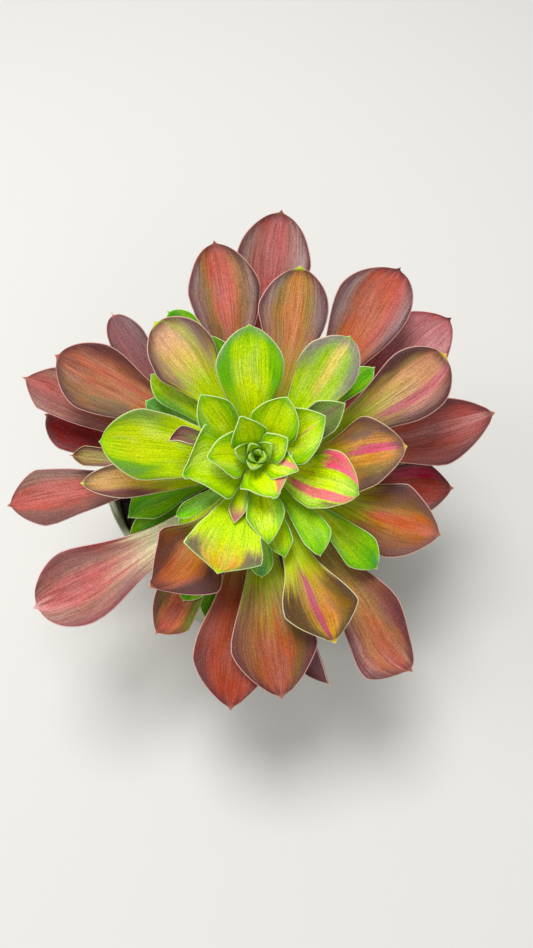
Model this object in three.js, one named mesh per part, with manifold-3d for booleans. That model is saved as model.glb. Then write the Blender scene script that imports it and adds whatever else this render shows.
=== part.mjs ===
// A potted aeonium: one leaning rosette of variegated leaves on a short woody stem,
// standing in the soil of a round pot. Millimetres, +Z up, +Y to the back of the plant.
// The origin is the centre of the pot's underside.
import * as THREE from 'three';
import Module from 'manifold-3d';

const wasm = await Module();
wasm.setup();

const DEGREE = Math.PI / 180;
const SEAT_GAP = 0.3; // clearance between pieces that touch
const SLIVER = 0.05; // edges shorter than this, left where leaves join, are closed up

// ---- Pot ------------------------------------------------------------------------------
const POT_HEIGHT = 66;
const RIM_RADIUS = 60;
const BASE_RADIUS = 55;
const POT_WALL = 1.8;
const POT_FLOOR = 2.6;
const LIP_WIDTH = 2.6; // radial width of the rolled lip
const LIP_DEPTH = 3.4; // height of the rolled lip
const BASE_BEVEL = 1.6;
const POT_SIDES = 56;
const DRAIN_RADIUS = 4;
const DRAIN_CIRCLE = 34;
const DRAIN_COUNT = 4;
const DRAIN_SIDES = 12;

// ---- Soil and stem --------------------------------------------------------------------
const SOIL_HEIGHT = 50; // level of the soil at the pot's wall
const SOIL_MOUND = 2.5; // how much higher it lies round the stem
const SOIL_HOLE_RADIUS = 9.5;
const SOIL_HOLE_FLOOR = 25;
const SOIL_SIDES = 40;
const STEM_RADIUS = 6.5;
const STEM_SIDES = 12;
const STEM_STEPS = 14;
const SCAR_DEPTH = 0.35; // relief of the rings that shed leaves left
const SCAR_SPACING = 4.2;

// ---- Head -----------------------------------------------------------------------------
// The head's axis leans towards -Y. Leaves are placed from its apex, in the head's frame.
const APEX = new THREE.Vector3(0.7, -23.8, 106);
const HEAD_LEAN = 22 * DEGREE;
const CROWN_SPLIT = 17.2; // depth below the apex that parts the young crown from the old
const CROWN_FOOT = 38;
const CROWN_RADIUS = 7;
const CROWN_TIP_RADIUS = 2;
const CROWN_SIDES = 14;

// ---- Leaves ---------------------------------------------------------------------------
const BASE_THICKNESS = 2.6;
const END_THICKNESS = 1.3;
const EDGE_THICKNESS = 0.75;
const BASE_CHANNEL = 70; // degrees of channel at the leaf's base
const CUSP_LENGTH = 0.034; // the small point at the tip, over the leaf's length
const CUSP_WIDTH = 0.17; // and its width over the leaf's width
const END_STATION = 0.972; // the last section; the point follows it
const LONG_LEAF = 60;
const SHORT_LEAF = 24;
const LONG_STATIONS = { shaft: [0, 0.4, 0.7, 0.88], cap: [0, 0.42, 0.72, 0.9, 1], across: 5 };
const MEDIUM_STATIONS = { shaft: [0, 0.5, 0.82], cap: [0, 0.55, 0.86, 1], across: 5 };
const SHORT_STATIONS = { shaft: [0, 0.6], cap: [0, 0.6, 1], across: 3 };

// Each leaf: turn (degrees round the head's axis from +X), length and width (mm), depth of
// its root below the apex (mm), rise (degrees over the head's own plane), arch (how many
// degrees it bends down on its way), swing (degrees it bends sideways, towards a larger
// turn), cup (degrees its margins curl up), and what sets one leaf apart:
// tip: sideways reach of its point, mm; cap: length of its rounded end over its width;
// round: how full that end is; skew: how much later one side is widest; neck: width of its
// base over its full width; flare: how late it widens; roll and twist: degrees that it leans
// to one side; cusp: size of its small point.
const COLUMNS = ['turn', 'length', 'width', 'depth', 'rise', 'arch', 'swing', 'cup'];
const USUAL = { tip: 0, cap: 0.6, round: 1.7, skew: 0, roll: 0, twist: 0, cusp: 1 };
const OLD_FOOT = { neck: 0.28, flare: 5 };
const YOUNG_FOOT = { neck: 0.42, flare: 3 };
const OLD_LEAVES = [
  [84.5, 89, 27.5, 30, 12, 6, -9, 22, { cap: 0.7 }],
  [100, 76.5, 25.5, 26, 17, 8, -10, 24, { tip: 1.5, cap: 0.7 }],
  [78, 67, 24, 22, 22, 8, 19, 24, { tip: -1 }],
  [55.5, 83, 27, 28, 13, 8, 20, 22, { tip: -3, round: 1.8 }],
  [39.3, 87, 27, 34, 6, 10, 16, 22, { tip: -3, round: 1.5 }],
  [28, 74, 24.5, 25, 16, 8, 24, 22, { tip: 1.5, round: 1.9 }],
  [11.3, 85.5, 25.5, 33, 6, 6, 5, 24, { tip: 2, round: 1.4, cap: 0.85 }],
  [4.5, 50, 25.5, 21, 20, 10, 12, 24, { round: 1.5, skew: 0.05 }],
  [-6, 70, 20, 35.5, 2, 10, 14, 30, { round: 1.3 }],
  [-22, 66, 27, 26, 12, 14, 12, 20, { round: 1.4 }],
  [-42, 53, 13.5, 23, 12, 20, -12, 26, { round: 1.5 }],
  [-56, 87, 25.5, 31, 10, 14, -8, 24, { tip: 4, skew: -0.1, round: 1.6 }],
  [-67, 65.5, 25.5, 22, 18, 16, 0, 24, { skew: 0.03, round: 1.2, cap: 0.46, flare: 7 }],
  [-73, 79, 11, 32, 10, 24, 10, 60, { round: 1.2, tip: 3, neck: 0.5, twist: 50 }],
  [-84, 79, 29, 28, 14, 16, 7, 20, { round: 1.45 }],
  [-96, 83.5, 28, 32, 13, 16, 9, 22, { round: 1.35 }],
  [-106, 57, 12, 32, 12, 14, 0, 28, { round: 1.3 }],
  [-118, 52, 12, 28, 11, 12, 0, 28],
  [-120.5, 67, 18, 31, 11, 18, -10, 26, { round: 1.4, skew: 0.04 }],
  [-124.5, 55, 29, 23, 18, 18, -8, 22, { tip: -5, skew: 0.04, round: 1.25, cap: 0.5, flare: 7 }],
  [-138, 33, 10, 21, 12, 30, 0, 40],
  [-146.5, 90, 27.5, 32, 12, 12, -20, 24, { round: 1.8 }],
  [-149, 51, 12, 31, 5, 10, 0, 26, { round: 1.3 }],
  [-162, 46.5, 15, 28, 6, 10, 0, 26, { tip: 4, round: 1.3 }],
  [-170.4, 87, 21, 32, 8, 8, 6, 26, { round: 1.4 }],
  [-172.5, 59, 13.5, 24, 14, 14, -8, 44, { cap: 1.1, round: 1.6, neck: 0.6, flare: 3 }],
  [178, 63, 9, 27, 12, 8, -4, 70, { round: 1.3 }],
  [166, 79, 19, 36, 4, 8, -24, 26],
  [158.5, 87.5, 17.5, 32, 8, 8, -22, 26, { tip: 2, round: 1.25, neck: 0.4 }],
  [153.5, 77, 25, 26, 14, 8, 6, 22, { tip: -1.5, round: 1.6, neck: 0.36 }],
  [151.5, 42, 16, 23, 16, 4, -6, 30, { round: 1.4 }],
  [141, 46, 12.5, 23, 20, 8, 5, 30, { round: 1.5 }],
  [134.3, 73, 14.5, 31, 16, 0, -31, 50, { round: 1.9, cusp: 0.1, cap: 0.8 }],
  [127, 58, 23.5, 21.5, 24, 10, 15, 24, { round: 1.9 }],
  [121, 60, 12, 25, 20, 4, 30, 26],
  [111, 46, 12, 24, 20, 8, 0, 30, { round: 1.3 }],
  [38.5, 51, 8, 25, 18, 8, 0, 34, { round: 1.3 }],
  [-87.5, 37.5, 8.5, 20, 15, 16, 0, 30, { round: 1.7 }],
  [44, 44, 7, 23, 22, 8, 0, 40, { round: 1.3 }],
];
const YOUNG_LEAVES = [
  [93, 45, 22.5, 12, 32, 12, -6, 22, { neck: 0.35, flare: 3.5 }],
  [53, 51, 20, 14, 28, 14, 20, 22, { tip: -1.5, neck: 0.35, flare: 3.5, round: 1.9 }],
  [29.5, 36.5, 12.5, 12, 36, 10, 6, 40, { round: 1.3 }],
  [28, 30, 21, 9, 42, 16, 0, 40, { cap: 0.55, round: 1.4 }],
  [-18, 37, 21, 13, 30, 20, 3, 20, { tip: -2, skew: 0.06, round: 1.6 }],
  [-53, 38, 10.5, 15, 22, 20, -10, 34, { round: 1.6, tip: -3, neck: 0.3 }],
  [-74, 33, 9, 16, 22, 20, 0, 34, { round: 1.3 }],
  [-82, 29.5, 14.5, 11.5, 29, 20, -6, 56, { round: 1.3 }],
  [-108, 42.5, 26, 15, 30, 40, 4, 18, { cap: 0.24, round: 1.1, neck: 0.36, flare: 4 }],
  [-108, 24.5, 7, 12, 36, 10, 20, 70, { round: 1.2 }],
  [-143, 33, 9, 15, 26, 30, -20, 90],
  [-170, 29, 27, 9, 42, 20, 0, 34, { tip: 3, round: 1.1, skew: -0.06, cap: 0.4 }],
  [175, 52, 24, 16, 24, 16, 10, 22, { neck: 0.5, flare: 2.6 }],
  [134, 31, 13.5, 9, 42, 16, -20, 30, { round: 1.4 }],
  [113, 19, 13, 5, 55, 14, 10, 34, { round: 1.3 }],
  [61, 26, 17, 7, 46, 18, 10, 26, { round: 1.6 }],
  [25, 17, 11, 4, 56, 20, 10, 30, { round: 1.4 }],
  [-58, 20, 21, 6, 48, 34, 10, 26, { round: 1.15, cap: 0.45, tip: -2 }],
  [-22, 19, 12, 5, 48, 24, 0, 40, { round: 1.2 }],
  [-175, 22, 16, 6, 52, 20, 20, 34, { round: 1.3 }],
  [168, 33, 9, 11, 38, 12, 8, 60, { round: 1.2, roll: 40, tip: 3 }],
];

// The bud at the apex: each scale stands steeper and shorter than the last.
const BUD_SCALES = 7;
const GOLDEN_TURN = 137.5;

function budLeaves() {
  const leaves = [];
  for (let i = 0; i < BUD_SCALES; i += 1) {
    const [length, width, depth] = [6 + 1.2 * i, 4 + 0.6 * i, 0.8 + 0.45 * i];
    leaves.push([65 + i * GOLDEN_TURN, length, width, depth, 84 - 3 * i, -10, 0, 60]);
  }
  return leaves;
}

// ---- Solids ---------------------------------------------------------------------------
// A solid from a list of points and a list of triangles.
function solidOf(points, triangles) {
  const vertProperties = new Float32Array(points.length * 3);
  points.forEach((point, i) => vertProperties.set([point.x, point.y, point.z], i * 3));
  return new wasm.Manifold(new wasm.Mesh({
    numProp: 3,
    vertProperties,
    triVerts: new Uint32Array(triangles.flat()),
  }));
}

function geometryOf(solid) {
  const mesh = solid.asOriginal().simplify(SLIVER).getMesh();
  const geometry = new THREE.BufferGeometry();
  geometry.setAttribute('position', new THREE.BufferAttribute(mesh.vertProperties, 3));
  geometry.setIndex(new THREE.BufferAttribute(mesh.triVerts, 1));
  geometry.computeVertexNormals();
  return geometry;
}

// A body of rings, all with the same number of points and listed from foot to top; each
// ring runs counter-clockwise seen from the top. Both ends are closed by a point.
function ringBody(rings, footPoint, topPoint) {
  const sides = rings[0].length;
  const points = [footPoint, ...rings.flat(), topPoint];
  const last = points.length - 1;
  const at = (ring, side) => 1 + ring * sides + (side % sides);
  const triangles = [];
  for (let side = 0; side < sides; side += 1) {
    triangles.push([0, at(0, side + 1), at(0, side)]);
    for (let ring = 0; ring < rings.length - 1; ring += 1) {
      triangles.push([at(ring, side), at(ring, side + 1), at(ring + 1, side + 1)]);
      triangles.push([at(ring, side), at(ring + 1, side + 1), at(ring + 1, side)]);
    }
    triangles.push([last, at(rings.length - 1, side), at(rings.length - 1, side + 1)]);
  }
  return solidOf(points, triangles);
}

// A round body from a profile of [radius, height] pairs that starts and ends on the axis.
function turned(profile, sides) {
  const rings = profile.slice(1, -1).map(([radius, height]) => {
    const ring = [];
    for (let side = 0; side < sides; side += 1) {
      const angle = (side / sides) * 2 * Math.PI;
      ring.push(new THREE.Vector3(radius * Math.cos(angle), radius * Math.sin(angle), height));
    }
    return ring;
  });
  const [first, last] = [profile[0], profile[profile.length - 1]];
  return ringBody(rings, new THREE.Vector3(0, 0, first[1]), new THREE.Vector3(0, 0, last[1]));
}

// ---- Leaf -----------------------------------------------------------------------------
// Half the leaf's width over its greatest half width, at a station from 0 (root) to 1, on the
// side at -1 or 1.
function outline(leaf, station, side) {
  const widest = Math.min(0.96, leaf.widest + leaf.skew * side);
  if (station < widest) {
    const along = station / widest;
    const { neck, flare } = leaf;
    return neck + (1 - neck) * along ** flare * (flare + 1 - flare * along);
  }
  const along = Math.min((station - widest) / (0.985 - widest), 1);
  const round = (1 - along ** leaf.round) ** (1 / leaf.round);
  const point = Math.min((1 - station) / CUSP_LENGTH, 1) ** 1.1;
  const begun = Math.max(0, Math.min(1, (station - 0.92) / 0.04));
  const cusp = CUSP_WIDTH * leaf.cusp * point * begun;
  return Math.min((round ** 4 + cusp ** 4) ** 0.25, 1);
}

// A table row as named sizes, with what it leaves unsaid and the station where it is widest.
function wholeLeaf(row, foot) {
  const leaf = { ...USUAL, ...foot };
  COLUMNS.forEach((name, i) => { leaf[name] = row[i]; });
  Object.assign(leaf, row[COLUMNS.length]);
  leaf.widest = Math.max(0.5, 1 - (leaf.cap * leaf.width) / leaf.length);
  return leaf;
}

function stationsOf(leaf) {
  if (leaf.length >= LONG_LEAF) return LONG_STATIONS;
  return leaf.length > SHORT_LEAF ? MEDIUM_STATIONS : SHORT_STATIONS;
}

// The leaf's tangent, its across direction and its upper normal at a station.
function leafAxes(leaf, station) {
  const rise = (leaf.rise + leaf.arch * (0.5 - station)) * DEGREE;
  const turn = (leaf.turn + leaf.swing * (station - 0.5)) * DEGREE;
  const along = new THREE.Vector3(
    Math.cos(rise) * Math.cos(turn),
    Math.cos(rise) * Math.sin(turn),
    Math.sin(rise),
  );
  const level = new THREE.Vector3(-Math.sin(turn), Math.cos(turn), 0);
  const upright = new THREE.Vector3().crossVectors(along, level);
  const roll = (leaf.roll + leaf.twist * station) * DEGREE;
  const across = level.clone().multiplyScalar(Math.cos(roll))
    .addScaledVector(upright, Math.sin(roll));
  const normal = upright.clone().multiplyScalar(Math.cos(roll))
    .addScaledVector(level, -Math.sin(roll));
  return { along, across, normal };
}

// A leaf in the head's frame: a blade with alike upper and lower faces, closed at its point.
function leafSolid(leaf) {
  const { shaft, cap, across: count } = stationsOf(leaf);
  const capStart = leaf.widest - Math.abs(leaf.skew);
  const stations = [
    ...shaft.map((share) => share * capStart),
    ...cap.map((share) => capStart + (END_STATION - capStart) * share),
  ];
  const turn = leaf.turn * DEGREE;
  const root = Math.min(4, 1 + 0.2 * leaf.depth);
  const centre = new THREE.Vector3(root * Math.cos(turn), root * Math.sin(turn), -leaf.depth);
  const rings = [];
  let previous = 0;
  for (const station of stations) {
    const step = leafAxes(leaf, (previous + station) / 2).along;
    centre.addScaledVector(step, leaf.length * (station - previous));
    rings.push(leafRing(leaf, station, centre, count));
    previous = station;
  }
  const { along } = leafAxes(leaf, (previous + 1) / 2);
  const { across } = leafAxes(leaf, 1);
  centre.addScaledVector(along, leaf.length * (1 - previous));
  centre.addScaledVector(across, leaf.tip);
  return bladeSolid(rings, centre, count);
}

// The section of a leaf: its upper points from one margin to the other, then its lower ones.
function leafRing(leaf, station, centre, count) {
  const { across, normal } = leafAxes(leaf, station);
  const channel = (BASE_CHANNEL - leaf.cup) * Math.max(0, 1 - station / 0.5) ** 2;
  const curl = (leaf.cup + channel) * DEGREE;
  const middle = BASE_THICKNESS + (END_THICKNESS - BASE_THICKNESS) * station;
  const reach = leaf.tip * Math.max(0, (station - leaf.widest) / (1 - leaf.widest)) ** 2;
  const upper = [];
  const lower = [];
  for (let i = 0; i < count; i += 1) {
    const share = (2 * i) / (count - 1) - 1;
    const half = (outline(leaf, station, share < 0 ? -1 : 1) * leaf.width) / 2;
    const sideways = (half * Math.sin(curl * share)) / curl + reach;
    const lift = (half * (1 - Math.cos(curl * share))) / curl;
    const thickness = EDGE_THICKNESS + (middle - EDGE_THICKNESS) * (1 - share * share);
    const point = centre.clone().addScaledVector(across, sideways).addScaledVector(normal, lift);
    upper.push(point.clone().addScaledVector(normal, thickness / 2));
    lower.push(point.clone().addScaledVector(normal, -thickness / 2));
  }
  return { upper, lower };
}

function bladeSolid(rings, point, count) {
  const points = rings.flatMap((ring) => [...ring.upper, ...ring.lower]);
  points.push(point);
  const upper = (ring, i) => ring * 2 * count + i;
  const lower = (ring, i) => ring * 2 * count + count + i;
  const triangles = [];
  const last = rings.length - 1;
  const tip = points.length - 1;
  const quad = (a, b, c, d) => triangles.push([a, b, c], [a, c, d]);
  for (let i = 0; i < count - 1; i += 1) {
    quad(upper(0, i), upper(0, i + 1), lower(0, i + 1), lower(0, i));
    for (let ring = 0; ring < last; ring += 1) {
      quad(upper(ring, i), upper(ring + 1, i), upper(ring + 1, i + 1), upper(ring, i + 1));
      triangles.push([lower(ring, i), lower(ring + 1, i + 1), lower(ring + 1, i)]);
      triangles.push([lower(ring, i), lower(ring, i + 1), lower(ring + 1, i + 1)]);
    }
    triangles.push([upper(last, i), tip, upper(last, i + 1)]);
    triangles.push([lower(last, i), lower(last, i + 1), tip]);
  }
  for (let ring = 0; ring < last; ring += 1) {
    quad(upper(ring, 0), lower(ring, 0), lower(ring + 1, 0), upper(ring + 1, 0));
    const edge = count - 1;
    quad(upper(ring, edge), upper(ring + 1, edge), lower(ring + 1, edge), lower(ring, edge));
  }
  triangles.push([upper(last, 0), lower(last, 0), tip]);
  triangles.push([upper(last, count - 1), tip, lower(last, count - 1)]);
  return solidOf(points, triangles);
}

// ---- Sub-parts ------------------------------------------------------------------------
const outerRadius = (height) => BASE_RADIUS + ((RIM_RADIUS - BASE_RADIUS) * height) / POT_HEIGHT;
const innerRadius = (height) => outerRadius(height) - POT_WALL;

function potSolid() {
  const lipFoot = POT_HEIGHT - LIP_DEPTH;
  const lipEdge = 0.8; // radius of the lip's rounded corners
  let pot = turned([
    [0, 0],
    [BASE_RADIUS - BASE_BEVEL, 0],
    [outerRadius(BASE_BEVEL), BASE_BEVEL],
    [outerRadius(lipFoot) - 0.6, lipFoot],
    [RIM_RADIUS, lipFoot + lipEdge],
    [RIM_RADIUS, POT_HEIGHT - lipEdge],
    [RIM_RADIUS - lipEdge, POT_HEIGHT],
    [RIM_RADIUS - LIP_WIDTH + lipEdge, POT_HEIGHT],
    [RIM_RADIUS - LIP_WIDTH, POT_HEIGHT - lipEdge],
    [innerRadius(lipFoot), lipFoot - 2],
    [innerRadius(POT_FLOOR + 1), POT_FLOOR + 1],
    [innerRadius(POT_FLOOR) - 1, POT_FLOOR],
    [0, POT_FLOOR],
  ], POT_SIDES);
  for (let i = 0; i < DRAIN_COUNT; i += 1) {
    const angle = ((i + 0.5) / DRAIN_COUNT) * 2 * Math.PI;
    const drill = turned([
      [0, -1],
      [DRAIN_RADIUS, -1],
      [DRAIN_RADIUS, POT_FLOOR + 1],
      [0, POT_FLOOR + 1],
    ], DRAIN_SIDES);
    const place = [DRAIN_CIRCLE * Math.cos(angle), DRAIN_CIRCLE * Math.sin(angle), 0];
    pot = pot.subtract(drill.translate(place));
  }
  return pot;
}

function soilSolid() {
  const floor = POT_FLOOR + SEAT_GAP;
  const bevel = 1.2; // clears the rounded corner inside the pot
  return turned([
    [0, floor],
    [innerRadius(floor) - bevel - SEAT_GAP, floor],
    [innerRadius(floor + bevel) - SEAT_GAP, floor + bevel],
    [innerRadius(SOIL_HEIGHT) - SEAT_GAP, SOIL_HEIGHT],
    [0.7 * innerRadius(SOIL_HEIGHT), SOIL_HEIGHT + 0.4 * SOIL_MOUND],
    [0.4 * innerRadius(SOIL_HEIGHT), SOIL_HEIGHT + 0.9 * SOIL_MOUND],
    [SOIL_HOLE_RADIUS, SOIL_HEIGHT + SOIL_MOUND],
    [SOIL_HOLE_RADIUS, SOIL_HOLE_FLOOR],
    [0, SOIL_HOLE_FLOOR],
  ], SOIL_SIDES);
}

// The head's frame: its own +Z is the stem's axis at the apex.
const headTurn = new THREE.Matrix4().makeRotationX(HEAD_LEAN);
const headFrame = headTurn.clone().setPosition(APEX);
const onHeadAxis = (depth) => new THREE.Vector3(0, 0, -depth).applyMatrix4(headFrame);

function stemSolid() {
  const top = onHeadAxis(CROWN_FOOT + SEAT_GAP);
  const path = new THREE.CatmullRomCurve3([
    new THREE.Vector3(top.x, 0.5, SOIL_HOLE_FLOOR + SEAT_GAP),
    new THREE.Vector3(top.x, 0.5, 0.5 * (SOIL_HOLE_FLOOR + SOIL_HEIGHT)),
    new THREE.Vector3(top.x, -1, SOIL_HEIGHT),
    top,
  ]);
  const length = path.getLength();
  const rings = [];
  for (let step = 0; step <= STEM_STEPS; step += 1) {
    const share = step / STEM_STEPS;
    const centre = path.getPointAt(share);
    const up = path.getTangentAt(share);
    const side = new THREE.Vector3(1, 0, 0);
    const back = new THREE.Vector3().crossVectors(up, side).normalize();
    const scar = SCAR_DEPTH * Math.sin((2 * Math.PI * share * length) / SCAR_SPACING);
    const ring = [];
    for (let i = 0; i < STEM_SIDES; i += 1) {
      const angle = (i / STEM_SIDES) * 2 * Math.PI;
      ring.push(centre.clone()
        .addScaledVector(side, (STEM_RADIUS + scar) * Math.cos(angle))
        .addScaledVector(back, (STEM_RADIUS + scar) * Math.sin(angle)));
    }
    rings.push(ring);
  }
  return ringBody(rings, path.getPointAt(0), path.getPointAt(1));
}

function whorlSolid(leaves, foot, coreProfile) {
  let whorl = turned(coreProfile, CROWN_SIDES);
  for (const row of leaves) whorl = whorl.add(leafSolid(wholeLeaf(row, foot)));
  return whorl.transform(headFrame.elements);
}

const oldLeaves = () => whorlSolid(OLD_LEAVES, OLD_FOOT, [
  [0, -CROWN_FOOT],
  [STEM_RADIUS, -CROWN_FOOT],
  [CROWN_RADIUS, -CROWN_FOOT + 3],
  [CROWN_RADIUS, -CROWN_SPLIT - SEAT_GAP],
  [0, -CROWN_SPLIT - SEAT_GAP],
]);

const youngLeaves = () => whorlSolid([...YOUNG_LEAVES, ...budLeaves()], YOUNG_FOOT, [
  [0, -CROWN_SPLIT],
  [CROWN_RADIUS, -CROWN_SPLIT],
  [0.7 * CROWN_RADIUS, -0.4 * CROWN_SPLIT],
  [CROWN_TIP_RADIUS, -1],
  [0, 0],
]);

// ---- Assembly -------------------------------------------------------------------------
const SUBPARTS = [
  { name: 'pot', solid: potSolid, color: '#8b9482', roughness: 0.45 },
  { name: 'soil', solid: soilSolid, color: '#2a211b', roughness: 1 },
  { name: 'stem', solid: stemSolid, color: '#6d5a48', roughness: 0.85 },
  { name: 'outer_leaves', solid: oldLeaves, color: '#8f4a3c', roughness: 0.5 },
  { name: 'inner_leaves', solid: youngLeaves, color: '#8fb81a', roughness: 0.5 },
];

const group = new THREE.Group();
for (const { name, solid, color, roughness } of SUBPARTS) {
  const material = new THREE.MeshStandardMaterial({ color, roughness, metalness: 0 });
  const mesh = new THREE.Mesh(geometryOf(solid()), material);
  mesh.name = name;
  group.add(mesh);
}

export default group;
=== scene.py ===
"""A potted aeonium: one leaning rosette of variegated, pointed leaves in a round sage-green pot.

Metres in Blender; the sizes below are millimetres, in the part's own frame: +Z up, the pot's
underside at the origin, the rosette leaning to -Y.
"""
import math
import random

import bmesh
import bpy
from mathutils import Matrix, Vector, kdtree, noise


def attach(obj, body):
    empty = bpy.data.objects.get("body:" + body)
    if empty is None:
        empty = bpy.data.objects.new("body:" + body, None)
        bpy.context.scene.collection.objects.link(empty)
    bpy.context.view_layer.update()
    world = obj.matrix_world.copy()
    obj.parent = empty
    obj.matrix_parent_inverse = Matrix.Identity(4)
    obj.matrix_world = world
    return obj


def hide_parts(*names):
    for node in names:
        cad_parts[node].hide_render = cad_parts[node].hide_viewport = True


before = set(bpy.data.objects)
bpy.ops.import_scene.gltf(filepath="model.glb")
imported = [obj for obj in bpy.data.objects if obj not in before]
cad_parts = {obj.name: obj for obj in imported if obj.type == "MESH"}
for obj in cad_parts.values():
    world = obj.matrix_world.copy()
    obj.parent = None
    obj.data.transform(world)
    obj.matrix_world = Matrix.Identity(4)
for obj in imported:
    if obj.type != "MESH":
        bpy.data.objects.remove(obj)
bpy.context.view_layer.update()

MM = 0.001
FULL_TURN = 2 * math.pi

# ---- Pot, soil and stem sizes, as in the CAD part -------------------------------------------
POT_HEIGHT = 66
RIM_RADIUS = 60
BASE_RADIUS = 55
POT_WALL = 1.8
POT_FLOOR = 2.6
LIP_WIDTH = 2.6
LIP_DEPTH = 3.4
BASE_BEVEL = 1.6
DRAIN_RADIUS = 4
DRAIN_CIRCLE = 34
DRAIN_COUNT = 4
SOIL_HEIGHT = 50
SOIL_MOUND = 2.5
STEM_RADIUS = 6.5

# ---- Head sizes, as in the CAD part ---------------------------------------------------------
APEX = Vector((0.7, -23.8, 106))
HEAD_LEAN = math.radians(22)
CROWN_SPLIT = 17.2
CROWN_FOOT = 38
CROWN_RADIUS = 7
HEAD_FRAME = Matrix.Translation(APEX) @ Matrix.Rotation(HEAD_LEAN, 4, "X")

# ---- What is finer here than in the CAD part ------------------------------------------------
POT_STEPS = 160
SOIL_STEPS = 120
CROWN_STEPS = 48
STEM_STEPS = 72
STEM_SIDES = 32
SCAR_RINGS = 12  # leaf scars along the stem
SCAR_DEPTH = 0.36
STEM_LUMPS = 0.35  # how high the stem's other bumps stand

# ---- Leaf sizes -----------------------------------------------------------------------------
BASE_THICKNESS = 2.6
END_THICKNESS = 1.2
EDGE_THICKNESS = 0.55
MARGIN_ROUND = 0.12  # how far the middle of the margin stands out
BASE_CHANNEL = 70  # degrees that the foot curls up
GROOVE_DEPTH = 0.28  # of the groove down the middle
GROOVE_WIDTH = 0.1  # over the half width
FULL_HALF = 6  # half width from which a leaf has its whole groove and waves
ROUND_END = 0.985  # where the end's curve closes, short of the tip
CUSP_LENGTH = 0.034  # the small point at the tip, over the leaf's length
CUSP_WIDTH = 0.17  # and its width over the leaf's width
CUSP_START = 0.92  # where it begins to stand out of the round end
CUSP_SET_IN = 0.04  # and over what length it does so
WAVE = 1.0  # greatest height of the waves of a margin
WOBBLE = 0.02  # how far the outline strays from its smooth line, over the half width
WAVY_WIDTH = 22  # width from which a margin waves fully
LONG_LEAF = 40  # length from which a leaf has more rows
LONG_ROWS = 44
SHORT_ROWS = 32
ACROSS_STEPS = 16
TIP_MERGE = 0.01  # nearer points at the tip are one
HAIR_ROWS = 120
HAIR_START = 0.25  # the foot has no hairs
HAIR_SPACING = 0.8
HAIR_LENGTH = 0.55
HAIR_RADIUS = 0.13  # drawn thicker than it is so that it shows
HAIR_TIP_RADIUS = 0.02
LEAF_SHINE = 0.12  # the fine down breaks up most of the wax's mirror shine
FRAYING = 0.16  # how far fine threads carry a colour, over the leaf's length
LEAF_LAYERS = ("along", "across", "edge", "upper")  # what a leaf's mesh tells its material

# ---- Finishes -------------------------------------------------------------------------------
COLOURS = {
    "bright_lime": "#d3e312",
    "lime": "#b9d80e",
    "yellow_green": "#a3c814",
    "leaf_green": "#62a808",
    "sea_green": "#4d8a48",
    "pale_green": "#a6cf62",
    "cream_green": "#dfe8b2",
    "olive": "#857c22",
    "khaki": "#a8925a",
    "gold": "#c9ae34",
    "orange": "#cc7c42",
    "peach": "#d9a873",
    "tan": "#b98058",
    "salmon": "#c8685a",
    "coral": "#cf6662",
    "terracotta": "#b05439",
    "brick": "#a04334",
    "deep_red": "#761f1c",
    "rose": "#b5586a",
    "dusty_rose": "#bb7e7c",
    "blush": "#d6a09c",
    "hot_pink": "#ee6680",
    "mauve": "#8c6a6a",
    "grey_brown": "#7b6a50",
    "purple_brown": "#5c3a36",
    "dark_brown": "#4f2d28",
    "brown": "#75482f",
}


def linear(colour):
    """An sRGB hex colour, or one of the names above, as linear RGBA."""
    text = COLOURS.get(colour, colour).lstrip("#")
    parts = [int(text[i : i + 2], 16) / 255 for i in (0, 2, 4)]
    return (*[p / 12.92 if p <= 0.04045 else ((p + 0.055) / 1.055) ** 2.4 for p in parts], 1.0)


def add(tree, kind, links=None, output=0, stops=None, **settings):
    """Adds a node and gives back one of its outputs. links sets inputs, by name or number, to a
    value, a colour or another node's output, and stops gives a colour ramp its (place, colour,
    alpha) list."""
    node = tree.nodes.new("ShaderNode" + kind)
    for name, value in settings.items():
        setattr(node, name, value)
    for name, value in (links or {}).items():
        if isinstance(value, bpy.types.NodeSocket):
            tree.links.new(value, node.inputs[name])
        else:
            node.inputs[name].default_value = linear(value) if isinstance(value, str) else value
    for i, (place, colour, alpha) in enumerate(stops or []):
        ramp = node.color_ramp.elements
        stop = ramp[i] if i < 2 else ramp.new(place)
        stop.position = place
        stop.color = (*linear(colour)[:3], alpha)
    return node.outputs[output] if node.outputs else node


def new_material(name):
    """An empty material and its node tree."""
    material = bpy.data.materials.new(name)
    material.use_nodes = True
    material.node_tree.nodes.clear()
    return material, material.node_tree


def grained(tree, place, scale, detail=2, rough=0.5):
    """A noise pattern. scale counts its grains along one unit of place: one count for every
    axis, or a count for each."""
    if isinstance(scale, tuple):
        place = add(tree, "Mapping", {0: place, 3: scale})
        scale = 1
    return add(tree, "TexNoise", {0: place, 2: scale, 3: detail, 4: rough})


def shifted(tree, value, *shifts):
    """A value moved by patterns, each given as (pattern, amount)."""
    for pattern, amount in shifts:
        value = add(tree, "Math", {0: pattern, 1: amount, 2: value}, operation="MULTIPLY_ADD")
    return value


def coat(tree, colour, tone, *limits, share=None):
    """Lays a tone over a colour by a share. Each limit is (value, start, end, low, high): it
    goes smoothly from low to high, or from 0 to 1, while the value goes from start to end. The
    share is the product of the limits."""
    for value, start, end, *reach in limits:
        low, high = reach or (0, 1)
        span = {0: value, 1: start, 2: end, 3: low, 4: high}
        step = add(tree, "MapRange", span, interpolation_type="SMOOTHSTEP")
        if share is not None:
            step = add(tree, "Math", {0: share, 1: step}, operation="MULTIPLY")
        share = step
    return add(tree, "Mix", {0: share, 6: colour, 7: tone}, 2, data_type="RGBA")


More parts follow.
